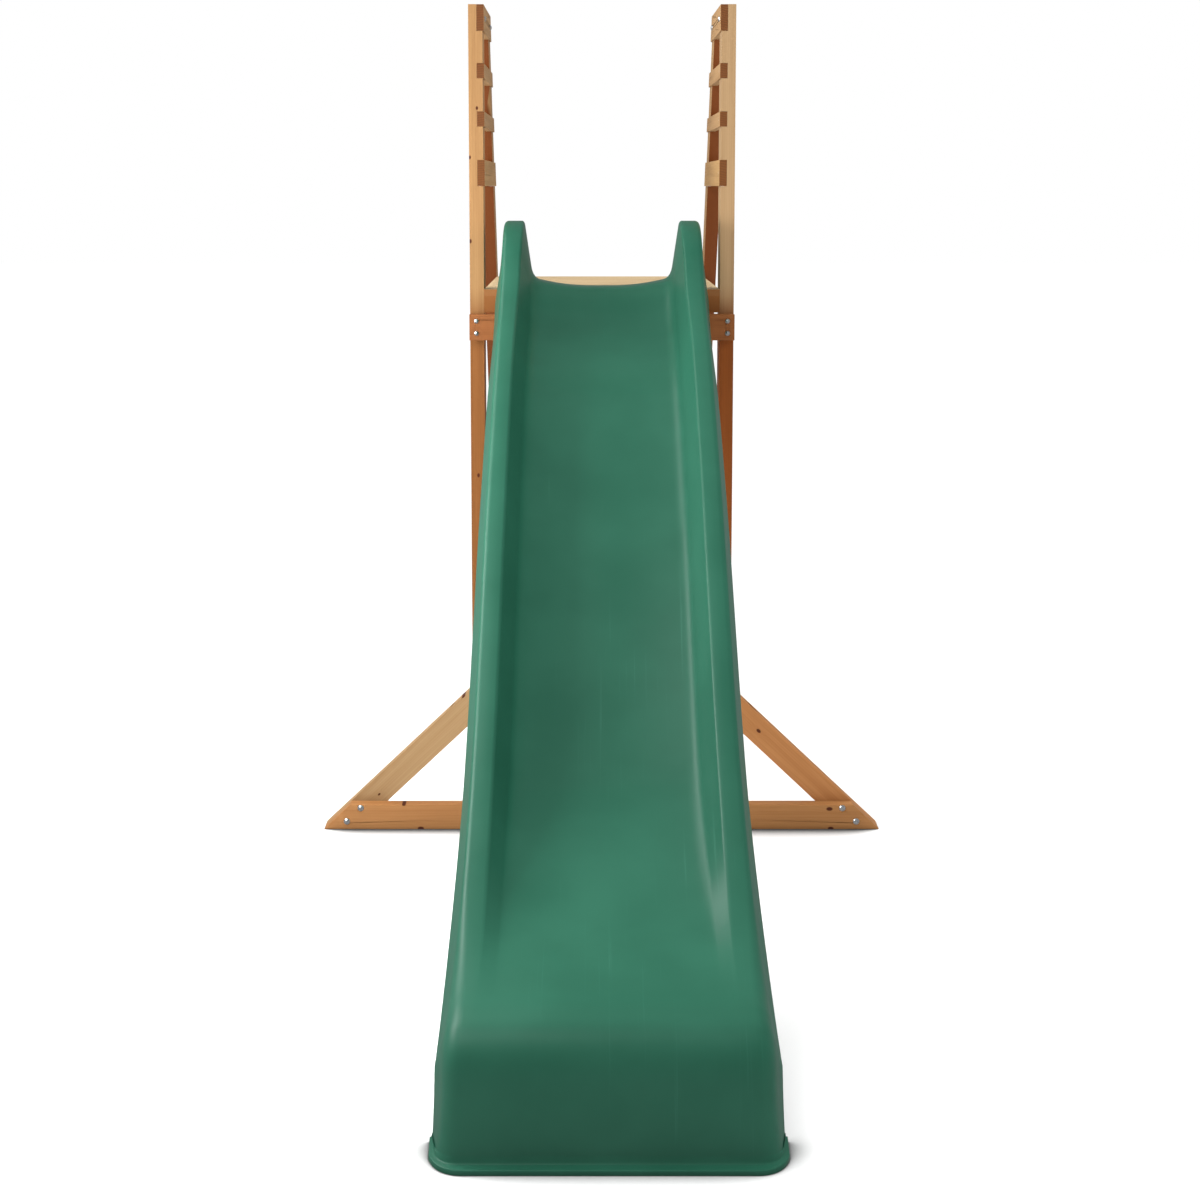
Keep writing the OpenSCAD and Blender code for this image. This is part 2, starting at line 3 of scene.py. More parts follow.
import bpy
import numpy as np
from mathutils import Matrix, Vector


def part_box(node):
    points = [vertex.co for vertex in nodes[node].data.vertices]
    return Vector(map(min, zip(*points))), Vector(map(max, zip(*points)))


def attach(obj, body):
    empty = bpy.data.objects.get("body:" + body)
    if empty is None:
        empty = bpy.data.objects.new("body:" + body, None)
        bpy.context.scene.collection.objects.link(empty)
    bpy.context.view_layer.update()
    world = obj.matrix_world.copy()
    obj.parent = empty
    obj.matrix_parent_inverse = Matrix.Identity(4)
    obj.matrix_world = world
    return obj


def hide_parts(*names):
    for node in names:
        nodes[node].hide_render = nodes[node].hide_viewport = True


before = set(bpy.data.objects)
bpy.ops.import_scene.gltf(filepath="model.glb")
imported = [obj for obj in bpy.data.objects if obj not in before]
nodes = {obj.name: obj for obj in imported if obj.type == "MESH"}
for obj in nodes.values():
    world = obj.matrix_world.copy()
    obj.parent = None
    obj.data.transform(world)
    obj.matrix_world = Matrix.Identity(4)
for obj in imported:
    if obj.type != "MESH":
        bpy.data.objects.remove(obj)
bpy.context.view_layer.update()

# Wave slide on a timber frame. Metres, +Z up; the chute runs out towards -Y. The chute's
# own sizes are in millimetres, like the design's.

MM = 0.001

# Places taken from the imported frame
post_front_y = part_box("front_post_left")[0].y
deck_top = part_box("deck_board_1")[1].z
beam_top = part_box("ground_beam")[1].z


# ---------- Mesh helper ----------

SHARP_ANGLE = math.radians(38)


def add_piece(name, verts, faces, slot, *stands_for):
    """A new closed mesh that stands for one or more CAD nodes."""
    mesh = bpy.data.meshes.new(name)
    mesh.from_pydata([tuple(v) for v in verts], [], faces)
    mesh.validate()
    piece = bpy.data.objects.new(name, mesh)
    bpy.context.scene.collection.objects.link(piece)
    mesh.polygons.foreach_set("use_smooth", [True] * len(mesh.polygons))
    mesh.set_sharp_from_angle(angle=SHARP_ANGLE)
    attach(piece, "root")
    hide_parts(*stands_for)
    return piece


# ---------- Chute ----------

CHUTE_T = 6
LIP = deck_top / MM + CHUTE_T    # height of the bed where it lies on the deck

# Section at the entry, right half. The whole section widens by CHUTE_FLARE over FLARE_RUN.
BED_HALF = 187
BED_FLAT = 30
BED_ROUND = 26
BED_DISH = 20
BED_RISE = 0.75                  # share of the dish reached where the wall's round starts
WALL_BLEND = (0.22, 0.06)        # shares of the wall taken up by its rounds, foot and top
RAIL_IN = 219
RAIL_OUT = 263
RAIL_ROUND = 11
RAIL_CROWN = 1.5
INNER_ROUND = 6
SKIRT_OUT = 286.5
HEM_TUCK = 13                    # a shallow skirt's hem lies this much further in
HEM_FLARE_D = 9                  # skirt depth, past the wall's own, at which it doesn't
CHUTE_FLARE = 0.145
FLARE_RUN = 1930

# Horns: rails taller than HORN_H lean in by HORN_IN over HORN_EXTRA more height
HORN_H = 120
HORN_EXTRA = 52
HORN_IN = 9
FADE_H = 60                      # rails lower than this fade into the bed

# Nose: its outer corners grow to NOSE_ROUND across and down, and its inner ones sharpen
NOSE_START = 1480
NOSE_FULL = 1850
NOSE_ROUND = np.array([26, 38])
NOSE_CRISP = 0.8

# Foot: the skin spreads below SPREAD_H and ends in a flange
SPREAD_H = 130
SPREAD_FRONT = 5
SPREAD_SIDE = 12
HEM_SHARE = 0.35                 # share of the spread that the hems take
FLANGE_FRONT = 30
FLANGE_SIDE = 12
FLANGE_T = 10
FLANGE_FILLET = 9
FLANGE_ROUND = 4

# Closed end of the lip
END_WALL = 6
END_EDGE = 0.5
END_SHARE = 0.985                # width of the end's lower skin, as a share of the upper's

# Points along each part of the mesh
STEPS = 9                        # rings between two stations
CORNER_STEPS = 7
FLAT_STEPS = 2
CURL_STEPS = 10
SKIRT_STEPS = 5
FILLET_STEPS = 5
RIM_STEPS = 4

# The slide line: run in front of the posts, height of the bed, height of the side
# rails over it and depth of the skirt under it
STATIONS = [
    (-100, LIP, 60, 6), (-85, LIP, 132, 6), (-50, LIP, 172, 6), (10, LIP, 172, 6),
    (48, LIP - 24, 148, 15), (92, LIP - 72, 147, 20), (150, LIP - 122, 142, 20),
    (230, LIP - 170, 128, 20), (330, LIP - 228, 121, 20), (430, LIP - 304, 120, 20),
    (560, LIP - 422, 120, 20), (700, LIP - 552, 120, 20), (830, LIP - 690, 120, 20),
    (950, LIP - 820, 120, 20), (1060, LIP - 934, 118, 20), (1170, LIP - 1030, 111, 21),
    (1290, LIP - 1103, 92, 24), (1430, LIP - 1168, 60, 34), (1580, LIP - 1217, 24, 55),
    (1720, LIP - 1248, 5, 82), (1800, LIP - 1262, 1, 95), (1850, LIP - 1280, 0, 100),
    (1890, LIP - 1322, 0, 100), (1912, LIP - 1392, 0, 100), (1925, 45, 0, 100),
    (1930, FLANGE_T, 0, 100),
]


def smooth_line():
    """Catmull-Rom curve through the stations."""
    s = np.array(STATIONS, float)
    s = np.vstack([s[:1], s, s[-1:]])
    points = []
    for i in range(1, len(s) - 2):
        a, b, c, d = s[i - 1:i + 3]
        for t in np.arange(STEPS) / STEPS:
            points.append(0.5 * (2 * b + (c - a) * t + (2 * a - 5 * b + 4 * c - d) * t ** 2
                                 + (3 * b - a - 3 * c + d) * t ** 3))
    points.append(s[-1])
    return np.array(points)


def share(value, low, high):
    """How far a value has come from low to high, held between 0 and 1."""
    return min(max((value - low) / (high - low), 0), 1)


def rounded(a, b, c):
    """Points of a rounded corner from a to c around b."""
    t = np.linspace(0, 1, CORNER_STEPS)[:, None]
    return (1 - t) ** 2 * a + 2 * t * (1 - t) * b + t ** 2 * c


def bed_outline(edge, rise):
    """The bed from its centre to its edge: flat, then curling up to rise."""
    x = np.concatenate([np.linspace(0, BED_FLAT, FLAT_STEPS, endpoint=False),
                        np.linspace(BED_FLAT, edge, CURL_STEPS, endpoint=False)])
    curl = np.clip((x - BED_FLAT) / (edge - BED_FLAT), 0, 1)
    return np.column_stack([x, rise * curl ** 2])


def half_section(s):
    """Right half of the upper skin at one point of the line: distance from centre, height."""
    run, _, rail, skirt_depth = s
    fade = min(1, rail / FADE_H)
    nose = share(run, NOSE_START, NOSE_FULL)
    bed_edge = np.array([BED_HALF - BED_ROUND, BED_DISH * fade * BED_RISE])
    foot = np.array([BED_HALF, BED_DISH * fade])
    lean = HORN_IN * share(rail, HORN_H, HORN_H + HORN_EXTRA)
    top_in = np.array([RAIL_IN - lean, rail])
    top_out = np.array([RAIL_OUT, rail])
    flared = min(1, (skirt_depth - CHUTE_T) / HEM_FLARE_D)
    hem = np.array([SKIRT_OUT - HEM_TUCK * (1 - flared), -skirt_depth])
    wall = top_in - foot
    skirt = (hem - top_out) / np.linalg.norm(hem - top_out)
    crown = RAIL_CROWN * fade
    round_in = INNER_ROUND * (1 - NOSE_CRISP * nose)
    across, down = RAIL_ROUND + nose * (NOSE_ROUND - RAIL_ROUND)
    points = np.vstack([
        bed_outline(*bed_edge),
        rounded(bed_edge, foot, foot + wall * WALL_BLEND[0]),
        rounded(top_in - wall * WALL_BLEND[1], top_in, top_in + [round_in, crown]),
        rounded(top_out - [across, -crown], top_out, top_out + skirt * down),
        np.linspace(top_out + skirt * down, hem, SKIRT_STEPS + 1)[1:],
    ])
    return points * [1 + CHUTE_FLARE * share(run, 0, FLARE_RUN), 1]


def outline_normals(o):
    """Unit normals of an open outline, on its upper side."""
    d = np.vstack([o[1] - o[0], o[2:] - o[:-2], o[-1] - o[-2]])
    return np.column_stack([-d[:, 1], d[:, 0]]) / np.linalg.norm(d, axis=1)[:, None]


def widened(o, front, side):
    """An outline moved outwards, less and less along the skirts towards their hems."""
    q = outline_normals(o)
    sideways = np.abs(q[:, :1])
    amount = np.ones((len(o), 1))
    fade = np.linspace(HEM_SHARE, 1, SKIRT_STEPS + 1)[:, None]
    amount[:SKIRT_STEPS + 1] = fade
    amount[-SKIRT_STEPS - 1:] = fade[::-1]
    return o + q * amount * (front * (1 - sideways) + side * sideways)


def ring_loop(s, closed=False, reach=0.0):
    """Both skins of one ring as a closed loop; reach, 0 to 1, widens it into the flange."""
    half = half_section(s)
    mirror = half[:0:-1] * [-1, 1]
    spread = max(0, 1 - s[1] / SPREAD_H) ** 2
    skin = widened(np.vstack([mirror, half]), SPREAD_FRONT * spread, SPREAD_SIDE * spread)
    upper = widened(skin, (FLANGE_FRONT - SPREAD_FRONT) * reach, FLANGE_SIDE * reach)
    lower = skin - outline_normals(skin) * CHUTE_T
    lower[0] = skin[0] + [CHUTE_T, 0]
    lower[-1] = skin[-1] - [CHUTE_T, 0]
    if closed:
        x = skin[1:-1, 0] * END_SHARE
        lower[1:-1] = np.column_stack([x, np.full(len(x), -CHUTE_T)])
    return np.vstack([upper, lower[::-1]])


def stand(loop, s, heading):
    """Places a loop across the line, in the row frame."""
    u = heading / np.linalg.norm(heading)
    return np.column_stack([loop[:, 0], -(s[0] - u[1] * loop[:, 1]), s[1] + u[0] * loop[:, 1]])


def flange_steps():
    """Reach and height of the foot: a fillet off the nose, a flat and a rounded rim."""
    steps = []
    for a in np.linspace(0, math.pi / 2, FILLET_STEPS + 1)[1:]:
        steps.append((FLANGE_FILLET * (1 - math.cos(a)) / FLANGE_FRONT,
                      FLANGE_T + FLANGE_FILLET * (1 - math.sin(a))))
    for b in np.linspace(0, math.pi / 2, RIM_STEPS + 1):
        steps.append((1 - FLANGE_ROUND * (1 - math.sin(b)) / FLANGE_FRONT,
                      FLANGE_T - FLANGE_ROUND * (1 - math.cos(b))))
    steps.append((1.0, 0.0))
    return steps


def chute_rings():
    """Every ring of the chute, from the closed end of the lip to the rim of the foot."""
    line = smooth_line()
    headings = np.vstack([[1, 0], line[2:, :2] - line[:-2, :2], [0, -1]])
    end = ring_loop(line[0], closed=True)
    rings = [stand(end, line[0] - [back, 0, 0, 0], headings[0]) for back in (END_WALL, END_EDGE)]
    for s, heading in zip(line, headings):
        if s[1] > FLANGE_T + FLANGE_FILLET:
            rings.append(stand(ring_loop(s), s, heading))
    for reach, z in flange_steps():
        ring = stand(ring_loop(line[-1], reach=reach), line[-1], headings[-1])
        ring[:, 2] = z
        rings.append(ring)
    return rings


def shell_faces(ring_count, n):
    """Faces between neighbouring rings of n points, and across the first and the last."""
    faces = []
    for r in range(ring_count - 1):
        for j in range(n):
            a, b = r * n + j, r * n + (j + 1) % n
            faces.append((a, b, b + n, a + n))
    last = (ring_count - 1) * n
    for j in range(n // 2 - 1):
        cap = (j, n - 1 - j, n - 2 - j, j + 1)
        faces.append(cap)
        faces.append(tuple(last + v for v in reversed(cap)))
    return faces


def build_chute():
    rings = chute_rings()
    verts = np.vstack(rings) * MM + [0, post_front_y, 0]
    faces = shell_faces(len(rings), len(rings[0]))
    return add_piece("wave_chute", verts, faces, "chute_plastic", "slide_chute")


chute = build_chute()


# ---------- Material helpers ----------

class Shader:
    """A material's node tree with short calls for the nodes used here."""

    def __init__(self, name):
        self.material = bpy.data.materials.new(name)
        self.material.use_nodes = True
        self.tree = self.material.node_tree
        self.surface = self.tree.nodes["Principled BSDF"]
        self.place = self.add("ShaderNodeTexCoord").outputs["Object"]

    def add(self, kind, *inputs, **settings):
        node = self.tree.nodes.new(kind)
        for key, value in settings.items():
            setattr(node, key, value)
        for socket, value in zip(node.inputs, inputs):
            self.feed(socket, value)
        return node

    def feed(self, socket, value):
        if isinstance(value, bpy.types.NodeSocket):
            self.tree.links.new(value, socket)
        elif value is not None:
            socket.default_value = value

    def math(self, operation, a, b=None, clamp=False):
        return self.add("ShaderNodeMath", a, b, operation=operation, use_clamp=clamp).outputs[0]

    def times(self, a, b):
        return self.math("MULTIPLY", a, b)

    def plus(self, a, b):
        return self.math("ADD", a, b)

    def dot(self, vector, direction):
        node = self.add("ShaderNodeVectorMath", vector, tuple(direction), operation="DOT_PRODUCT")
        return node.outputs["Value"]

    def length(self, vector):
        return self.add("ShaderNodeVectorMath", vector, operation="LENGTH").outputs["Value"]

    def combine(self, x, y, z):
        return self.add("ShaderNodeCombineXYZ", x, y, z).outputs[0]

    def stretched(self, axes, factors):
        """Three coordinates, each multiplied by its own factor."""
        return self.combine(*[self.times(a, f) for a, f in zip(axes, factors)])

    def noise(self, vector, scale, detail=2.0, roughness=0.5):
        node = self.add("ShaderNodeTexNoise")
        self.feed(node.inputs["Vector"], vector)
        node.inputs["Scale"].default_value = scale
        node.inputs["Detail"].default_value = detail
        node.inputs["Roughness"].default_value = roughness
        return node.outputs["Fac"]

    def span(self, value, low, high, to_low=0.0, to_high=1.0):
        """Smooth step from low to high, mapped onto to_low..to_high."""
        node = self.add("ShaderNodeMapRange", interpolation_type="SMOOTHSTEP")
        for key, v in (("Value", value), ("From Min", low), ("From Max", high),
                       ("To Min", to_low), ("To Max", to_high)):
            self.feed(node.inputs[key], v)
        return node.outputs["Result"]

    def mix(self, factor, a, b):
        node = self.add("ShaderNodeMix", data_type="RGBA")
        self.feed(node.inputs["Factor"], factor)
        self.feed(node.inputs[6], a)
        self.feed(node.inputs[7], b)
        return node.outputs[2]

    def paint(self, colour, roughness, specular=None):
        self.feed(self.surface.inputs["Base Color"], colour)
        self.feed(self.surface.inputs["Roughness"], roughness)
        if specular is not None:
            self.surface.inputs["Specular IOR Level"].default_value = specular

    def bump(self, height, distance, strength):
        node = self.add("ShaderNodeBump")
        node.inputs["Strength"].default_value = strength
        node.inputs["Distance"].default_value = distance
        self.feed(node.inputs["Height"], height)
        self.feed(self.surface.inputs["Normal"], node.outputs["Normal"])


def linear(r, g, b):
    """A colour given in 0-255 display values, as linear RGBA."""
    def one(v):
        v = v / 255
        return v / 12.92 if v <= 0.04045 else ((v + 0.055) / 1.055) ** 2.4
    return (one(r), one(g), one(b), 1.0)


def darker(colour, factor):
    return tuple(c * factor for c in colour[:3]) + (1,)


# ---------- Wood ----------

END_GRAIN = linear(100, 53, 19)
# Painted shade on the faces of the deck boards and bearers that look towards the slide
PAINTED_FRONT_SHADE = linear(134, 84, 42)
# Painted shade on the rear legs' down-facing front face
PAINTED_UNDER_SHADE = linear(104, 50, 14)
KNOT = linear(74, 32, 14)
LIGHT_WOOD = (1.14, 1.18, 1.22, 1)    # a wood's light and dark tones against its average
DARK_WOOD = (0.76, 0.70, 0.62, 1)
WOOD_SPECULAR = 0.16

RING_SPACING = 0.0062
RING_WANDER = 0.02
LATE_WOOD = (0.25, 0.86, 0.9)    # where a ring starts to darken, is darkest and stops
KNOT_SWIRL = 0.007               # how far a knot pushes the rings out
KNOT_REACH = 4.5                 # and over how many of its own radii
KNOT_STRETCH = 0.62              # lengths along the grain count this much round a knot
KNOT_RIM = (0.65, 1.15)
POST_SHADE_TOP = (1.36, 1.53)         # heights between which a post's painted shade below the deck fades out
FACE_TURN = (0.74, 0.95)         # how squarely a face looks one way to be that face
END_COVER = 0.92
# How strongly a face that looks down or towards the slide takes its painted shade
PAINTED_SHADE_COVER = 0.95

# Noise frequencies along the grain and across it, and the weight of each pattern
SLOW = (0.9, 7.0, 7.0)
FIBRE = (7.0, 420.0, 420.0)
STREAK = (1.6, 55.0, 55.0)
RING_WEIGHT = 0.12
FIBRE_WEIGHT = 0.22
STREAK_WEIGHT = 0.4


def around_knots(s, radius, knots, grain):
    """Pushes the growth rings out round each knot, and masks the knots. They grow in from
    the front, and each is its distance from the centre, height and radius."""
    knot_mask = None
    for x, z, size in knots:
        side = grain.cross(Vector((0, 1, 0))).normalized()
        away = s.add("ShaderNodeVectorMath", s.place, (x, 0, z), operation="SUBTRACT").outputs[0]
        gap = s.length(s.combine(s.times(s.dot(away, grain), KNOT_STRETCH),
                                 s.dot(away, side), 0.0))
        radius = s.plus(radius, s.span(gap, 0.0, size * KNOT_REACH, KNOT_SWIRL, 0.0))
        mask = s.span(gap, size * KNOT_RIM[0], size * KNOT_RIM[1], 1.0, 0.0)
        knot_mask = mask if knot_mask is None else s.math("MAXIMUM", knot_mask, mask)
    return radius, knot_mask


def late_wood(s, radius):
    """The dark part of each growth ring: it comes in slowly and ends sharply."""
    start, full, stop = LATE_WOOD
    ring = s.math("FRACT", s.math("DIVIDE", radius, RING_SPACING))
    return s.times(s.span(ring, start, full), s.span(ring, stop, 1.0, 1.0, 0.0))


def end_grain_and_painted_shade(s, colour, late, grain, edge):
    """Darkens the end grain, and paints shade on the face that looks along edge[0], down to
    edge[1].
    """
    normal = s.add("ShaderNodeNewGeometry").outputs["Normal"]
    end = s.span(s.math("ABSOLUTE", s.dot(normal, grain)), *FACE_TURN)
    end_tone = s.mix(s.times(late, 0.7), END_GRAIN, darker(END_GRAIN, 0.55))
    colour = s.mix(s.times(end, END_COVER), colour, end_tone)
    if edge is None:
        return colour
    # Painted shade on the face that looks along edge[0]
    return s.mix(s.span(s.dot(normal, edge[0]), *FACE_TURN, 0.0, PAINTED_SHADE_COVER), colour, edge[1])


def wood_material(name, grain, tone, seed, knots=(), edge=None):
    """Sawn and stained softwood: growth rings around a pith, fibres along the grain, darker end
    grain and knots, and painted shade on the face that edge gives. A tone of four colours has the
    last two on its lower part, painted shade below the deck."""
    s = Shader(name)
    rng = np.random.default_rng(seed)
    grain = Vector(grain).normalized()
    across = Vector((0, 1, 0)) if abs(grain.x) > 0.6 else Vector((1, 0, 0))
    over = grain.cross(across).normalized()
    shift = rng.uniform(-1, 1, 3)
    pith = (rng.uniform(0.03, 0.07), rng.uniform(-0.09, 0.09))
    u = s.plus(s.dot(s.place, grain), float(shift[0]) * 5)
    v, w = s.dot(s.place, across), s.dot(s.place, over)
    axes = (u, v, w)
    wander = s.times(s.math("SUBTRACT", s.noise(s.stretched(axes, SLOW), 1.0), 0.5), RING_WANDER)
    from_pith = s.length(s.combine(s.plus(v, pith[0]), s.plus(w, pith[1]), 0.0))
    radius, knot_mask = around_knots(s, s.plus(from_pith, wander), knots, grain)
    late = late_wood(s, radius)
    fibre = s.noise(s.stretched(axes, FIBRE), 1.0, 3.0, 0.6)
    streak = s.noise(s.stretched(axes, STREAK), 1.0)
    lines = s.plus(s.span(fibre, 0.3, 0.75, 0.0, FIBRE_WEIGHT),
                   s.span(streak, 0.3, 0.72, 0.0, STREAK_WEIGHT))
    amount = s.math("ADD", s.times(late, RING_WEIGHT), lines, clamp=True)
    colour = s.mix(amount, *tone[:2])
    if len(tone) == 4:
        # Painted shade on the lower part of a post, under the deck and the slide
        below = s.span(s.dot(s.place, (0, 0, 1)), *POST_SHADE_TOP, 1.0, 0.0)
        colour = s.mix(below, colour, s.mix(amount, *tone[2:]))
    if knot_mask is not None:
        colour = s.mix(knot_mask, colour, KNOT)
    s.paint(end_grain_and_painted_shade(s, colour, late, grain, edge), s.plus(s.times(fibre, 0.18), 0.5),
            WOOD_SPECULAR)
    s.bump(s.plus(s.times(late, 0.2), fibre), 0.0004, 0.3)
    return s.material


def shades(r, g, b):
    """The light and dark tones of a wood whose average is the given display colour."""
    middle = linear(r, g, b)
    return tuple(tuple(c * k for c, k in zip(middle, tone)) for tone in (LIGHT_WOOD, DARK_WOOD))


TAN = shades(160, 125, 85)
AMBER = shades(165, 110, 62)
PALE = shades(166, 130, 84)
CREAM = shades(190, 166, 128)
CROSS = shades(131, 79, 42)
# A post's lower two tones are painted shade under the deck, on the right post the slide's painted
# shadow; the right post's upper tone is also painted lighter to make up for the weaker key light
# there
LEFT_POST = shades(153, 115, 74) + shades(127, 79, 38)
RIGHT_POST = shades(156, 126, 91) + shades(126, 66, 23)
LEFT_BRACE = shades(155, 124, 87)
RIGHT_BRACE = shades(167, 113, 67)
BEARER = shades(178, 114, 54)
BEAM = shades(156, 108, 64)


# ---------- Timbers ----------

LEAN = math.radians(32)
BRACE = math.radians(43.5)
POST_GRAIN = (0, 0, 1)
LEG_GRAIN = (0, -math.sin(LEAN), math.cos(LEAN))
CROSS_GRAIN = (1, 0, 0)
BOARD_GRAIN = (0, 1, 0)
UNDER_LEG = (0, -math.cos(LEAN), -math.sin(LEAN))
FACING_SLIDE = (0, -1, 0)

WELD_GAP = 0.00002
EASED_EDGE = 0.0016
EASED_ANGLE = math.radians(35)
DECK_BOARDS = 8
TREADS = 5

KNOTS = {
    "front_post_left": [(-0.356, 1.63, 0.004), (-0.338, 0.99, 0.004),
                        (-0.336, 1.986, 0.0035), (-0.356, 1.855, 0.0035)],
    "ground_beam": [(-0.55, beam_top, 0.0035), (-0.503, 0.002, 0.006),
                    (0.634, 0.058, 0.006), (0.638, 0.002, 0.0055)],
    "ground_brace_left": [(-0.622, 0.088, 0.003), (-0.385, 0.37, 0.005)],
    "ground_brace_right": [(0.438, 0.27, 0.005)],
}


def dress(name, grain, tone, edge=None):
    """Gives a timber its material and eases its sawn edges. The braces, with their thin
    points, stay as sharp as they were cut."""
    node = nodes[name]
    seed = sum(ord(c) * (i + 3) for i, c in enumerate(name))
    wood = wood_material("wood_" + name, grain, tone, seed, KNOTS.get(name, ()), edge)
    node.data.materials.clear()
    node.data.materials.append(wood)
    if name.startswith("ground_brace"):
        return
    weld = node.modifiers.new("weld", "WELD")
    weld.merge_threshold = WELD_GAP
    ease = node.modifiers.new("eased_edges", "BEVEL")
    ease.width = EASED_EDGE
    ease.segments = 2
    ease.limit_method = "ANGLE"
    ease.angle_limit = EASED_ANGLE


def dress_side(side, sign, post_tone, brace_tone):
    """The timbers of one side of the frame; sign is -1 on the left and 1 on the right."""
    dress("front_post_" + side, POST_GRAIN, post_tone)
    # The rear leg's down-facing front face gets painted shade
    dress("rear_leg_" + side, LEG_GRAIN, TAN, edge=(UNDER_LEG, PAINTED_UNDER_SHADE))
    for board in ("top_board_", "upper_slat_", "lower_slat_"):
        dress(board + side, BOARD_GRAIN, TAN)
    dress("guard_board_" + side, BOARD_GRAIN, PALE)
    # The bearer's face towards the slide gets painted shade
    dress("deck_bearer_" + side, BOARD_GRAIN, BEARER, edge=(FACING_SLIDE, PAINTED_FRONT_SHADE))
    dress("ground_brace_" + side, (-sign * math.cos(BRACE), 0, math.sin(BRACE)), brace_tone)


dress_side("left", -1, LEFT_POST, LEFT_BRACE)
dress_side("right", 1, RIGHT_POST, RIGHT_BRACE)
dress("front_cross_beam", CROSS_GRAIN, CROSS)
dress("rear_cross_beam", CROSS_GRAIN, CROSS)
dress("ground_beam", CROSS_GRAIN, BEAM)
for i in range(DECK_BOARDS):
    # Each deck board's face towards the slide gets painted shade
    dress("deck_board_%d" % (i + 1), CROSS_GRAIN, CREAM, edge=(FACING_SLIDE, PAINTED_FRONT_SHADE))
for i in range(TREADS):
    dress("ladder_tread_%d" % (i + 1), CROSS_GRAIN, AMBER)


# ---------- Plastic ----------

DEEP_GREEN = (0.0150, 0.089, 0.054, 1)
CLEAR_GREEN = (0.0180, 0.101, 0.062, 1)
RUBBED_GREEN = (0.05, 0.19, 0.13, 1)
RUB_LINES = (140.0, 1.8, 1.8)    # rub marks are fine across the chute and long down it
RUB_COVER = 0.34
PLASTIC_SPECULAR = 0.17


def plastic_material():
    """Green moulded polyethylene: slight mottling, a grained skin and faint rubbing marks
    that run down the chute."""
    s = Shader("green_polyethylene")
    mottle = s.noise(s.place, 5.0, 3.0)
    plain = s.mix(s.span(mottle, 0.3, 0.7), DEEP_GREEN, CLEAR_GREEN)
    axes = s.add("ShaderNodeSeparateXYZ", s.place).outputs
    rub = s.noise(s.stretched(axes, RUB_LINES), 1.0, 4.0, 0.6)
    patch = s.noise(s.place, 2.2)
    marks = s.times(s.span(rub, 0.6, 0.78), s.span(patch, 0.5, 0.66))
    s.paint(s.mix(s.times(marks, RUB_COVER), plain, RUBBED_GREEN),
            s.plus(s.span(mottle, 0.25, 0.75, 0.36, 0.44), s.times(marks, 0.15)),
            PLASTIC_SPECULAR)
    s.bump(s.plus(s.noise(s.place, 420.0), s.times(s.noise(s.place, 28.0, 1.0), 3.0)),
           0.00035, 0.25)
    return s.material


chute.data.materials.append(plastic_material())


# ---------- Fasteners ----------

DULL_ZINC = (0.56, 0.58, 0.61, 1)
BRIGHT_ZINC = (0.74, 0.75, 0.76, 1)
FASTENERS = ("ground_beam_bolts", "cross_beam_screws", "top_board_bolts", "bearer_bolts",
             "recessed_nuts", "recessed_washers", "guard_screws", "deck_screws",
             "tread_screws", "rear_beam_screws", "brace_screws", "slide_screws")


def zinc_material():
    """Bright zinc plate, slightly clouded."""
    s = Shader("zinc_plate")
    cloud = s.noise(s.place, 260.0, 3.0)
    s.paint(s.mix(s.span(cloud, 0.3, 0.7), DULL_ZINC, BRIGHT_ZINC),
            s.span(cloud, 0.3, 0.7, 0.24, 0.38))
    s.surface.inputs["Metallic"].default_value = 1.0
    return s.material


zinc = zinc_material()
for name in FASTENERS:
    nodes[name].data.materials.clear()
    nodes[name].data.materials.append(zinc)


# ---------- Studio ----------

FLOOR_HALF = 40.0
FLOOR_WHITE = (0.94, 0.94, 0.94, 1)
# Colour of the floor's painted contact shadow
FLOOR_PAINTED_SHADOW = (0.06, 0.06, 0.06, 1)
FLOOR_SPECULAR = 0.1
CONTACT_REACH = 0.13             # how close a thing has to stand to cast the floor's painted shadow
CONTACT_SAMPLES = 16

# Strength of the surroundings as seen by the camera, as soft light and in reflections
SEEN = 1.0
SOFT = 0.46
MIRRORED = 0.33

# The camera stands a little left of centre, in front of the posts
CAMERA_X = -0.041
CAMERA_AHEAD = 5.31
CAMERA_H = 1.778
CAMERA_TILT = math.radians(83.18)
CAMERA_LENS = 58.67
SENSOR_W = 36
CAMERA_SHIFT = (0.011, -0.15)


def studio_floor():
    """A white floor with a painted contact shadow: it darkens only where something stands close
    over it.
    """
    mesh = bpy.data.meshes.new("floor")
    corners = [(x * FLOOR_HALF, y * FLOOR_HALF, 0)
               for x, y in ((-1, -1), (1, -1), (1, 1), (-1, 1))]
    mesh.from_pydata(corners, [], [(0, 1, 2, 3)])
    floor = bpy.data.objects.new("floor", mesh)
    bpy.context.scene.collection.objects.link(floor)
    s = Shader("pale_floor")
    # Painted contact shadow: ambient occlusion darkens the floor's colour
    painted_shadow = s.add("ShaderNodeAmbientOcclusion")
    painted_shadow.samples = CONTACT_SAMPLES
    painted_shadow.inputs["Distance"].default_value = CONTACT_REACH
    s.paint(s.mix(s.span(painted_shadow.outputs["AO"], 0.5, 0.97), FLOOR_PAINTED_SHADOW, FLOOR_WHITE), 0.9,
            FLOOR_SPECULAR)
    mesh.materials.append(s.material)
    floor.visible_glossy = False


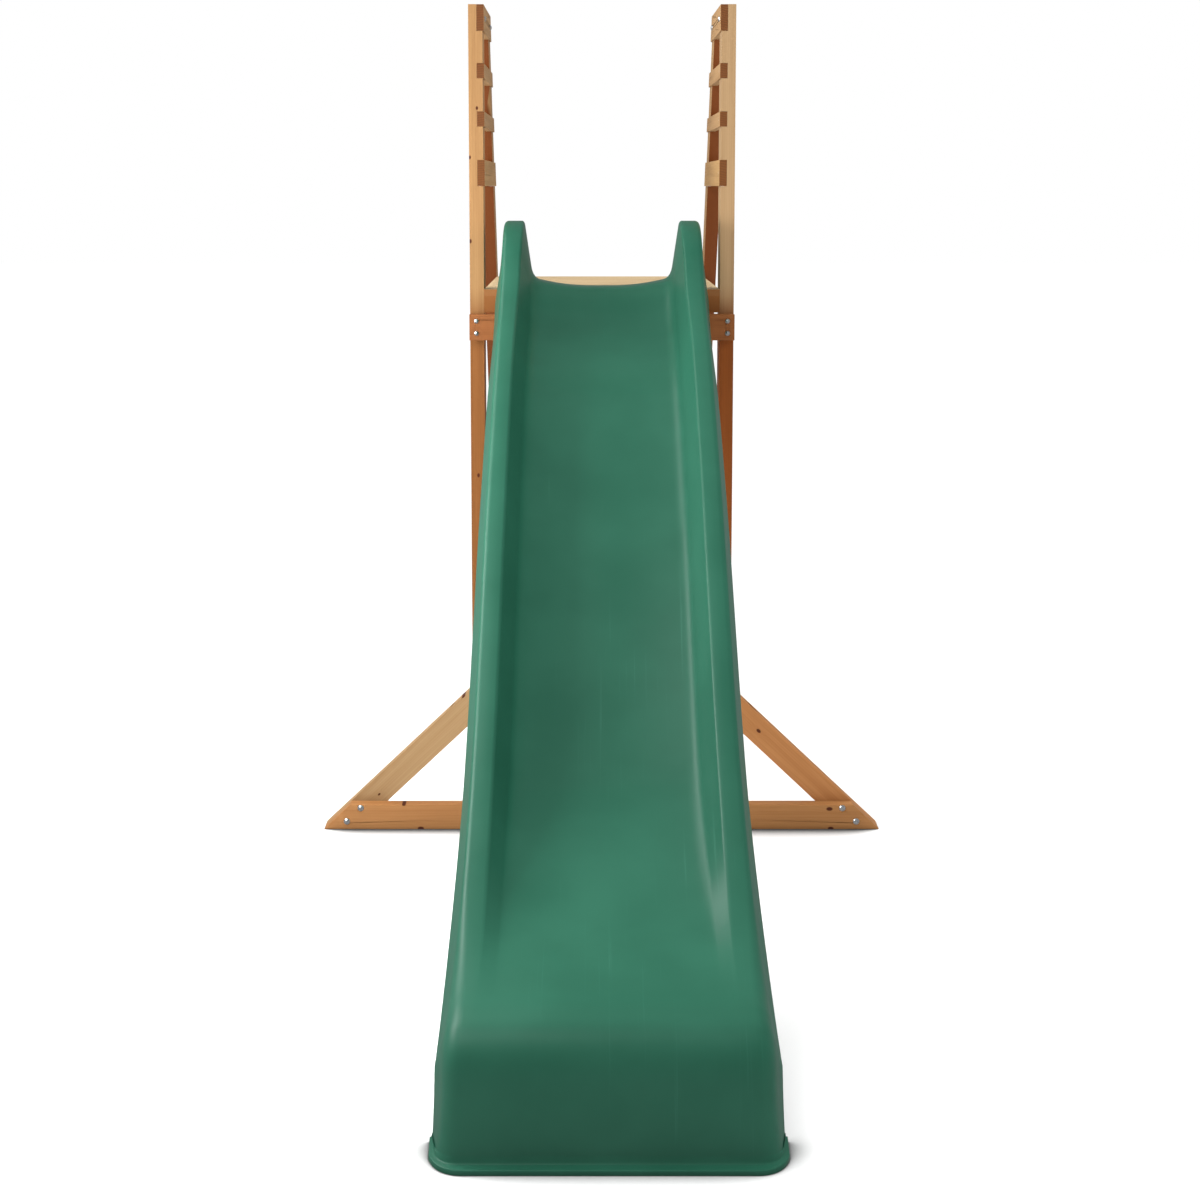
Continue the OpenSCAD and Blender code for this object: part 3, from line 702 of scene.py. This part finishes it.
def studio_world():
    """Even white surroundings: pale to look at, softer as light."""
    world = bpy.data.worlds.new("studio")
    bpy.context.scene.world = world
    world.use_nodes = True
    tree = world.node_tree
    background = tree.nodes["Background"]
    background.inputs["Color"].default_value = (1, 1, 1, 1)
    path = tree.nodes.new("ShaderNodeLightPath")
    mirrored = tree.nodes.new("ShaderNodeMapRange")
    mirrored.inputs["To Min"].default_value = SOFT
    mirrored.inputs["To Max"].default_value = MIRRORED
    strength = tree.nodes.new("ShaderNodeMapRange")
    strength.inputs["To Max"].default_value = SEEN
    tree.links.new(path.outputs["Is Glossy Ray"], mirrored.inputs["Value"])
    tree.links.new(mirrored.outputs["Result"], strength.inputs["To Min"])
    tree.links.new(path.outputs["Is Camera Ray"], strength.inputs["Value"])
    tree.links.new(strength.outputs["Result"], background.inputs["Strength"])


def studio_camera():
    data = bpy.data.cameras.new("camera")
    data.sensor_width = SENSOR_W
    data.lens = CAMERA_LENS
    data.shift_x, data.shift_y = CAMERA_SHIFT
    camera = bpy.data.objects.new("camera", data)
    bpy.context.scene.collection.objects.link(camera)
    camera.location = (CAMERA_X, post_front_y - CAMERA_AHEAD, CAMERA_H)
    camera.rotation_euler = (CAMERA_TILT, 0, 0)
    bpy.context.scene.camera = camera


def light(name, kind, place, target, energy, **settings):
    data = bpy.data.lights.new(name, kind)
    data.energy = energy
    for key, value in settings.items():
        setattr(data, key, value)
    lamp = bpy.data.objects.new(name, data)
    bpy.context.scene.collection.objects.link(lamp)
    lamp.location = place
    lamp.rotation_euler = (Vector(target) - Vector(place)).to_track_quat("-Z", "Y").to_euler()
    return lamp


def studio_lights():
    """A tilted strip on the left, a lamp high over the deck and one high in front, and a fill
    on the right and a wide soft sun that stay out of reflections."""
    key = light("key", "AREA", (-1.4, -0.9, 1.5), (0, -0.6, 1.0), 45,
                shape="RECTANGLE", size=0.65, size_y=1.6)
    key.rotation_euler.rotate_axis("Z", math.radians(45))
    light("back", "AREA", (-1.4, 0.1, 3.0), (0, -0.3, 1.3), 16, shape="SQUARE", size=0.9)
    light("brow", "AREA", (-1.0, -2.2, 3.2), (-0.2, 0, 1.5), 30, shape="SQUARE", size=0.9)
    fill = light("fill", "AREA", (2.2, -1.2, 2.3), (0, -0.7, 0.8), 33, shape="SQUARE", size=1.6)
    top = light("top", "SUN", (-0.4, 2, 6), (0, 0, 0), 2.2, angle=math.radians(70))
    for lamp in (top, fill):
        lamp.visible_glossy = False


studio_floor()
studio_world()
studio_camera()
studio_lights()
bpy.context.scene.view_settings.view_transform = "Standard"
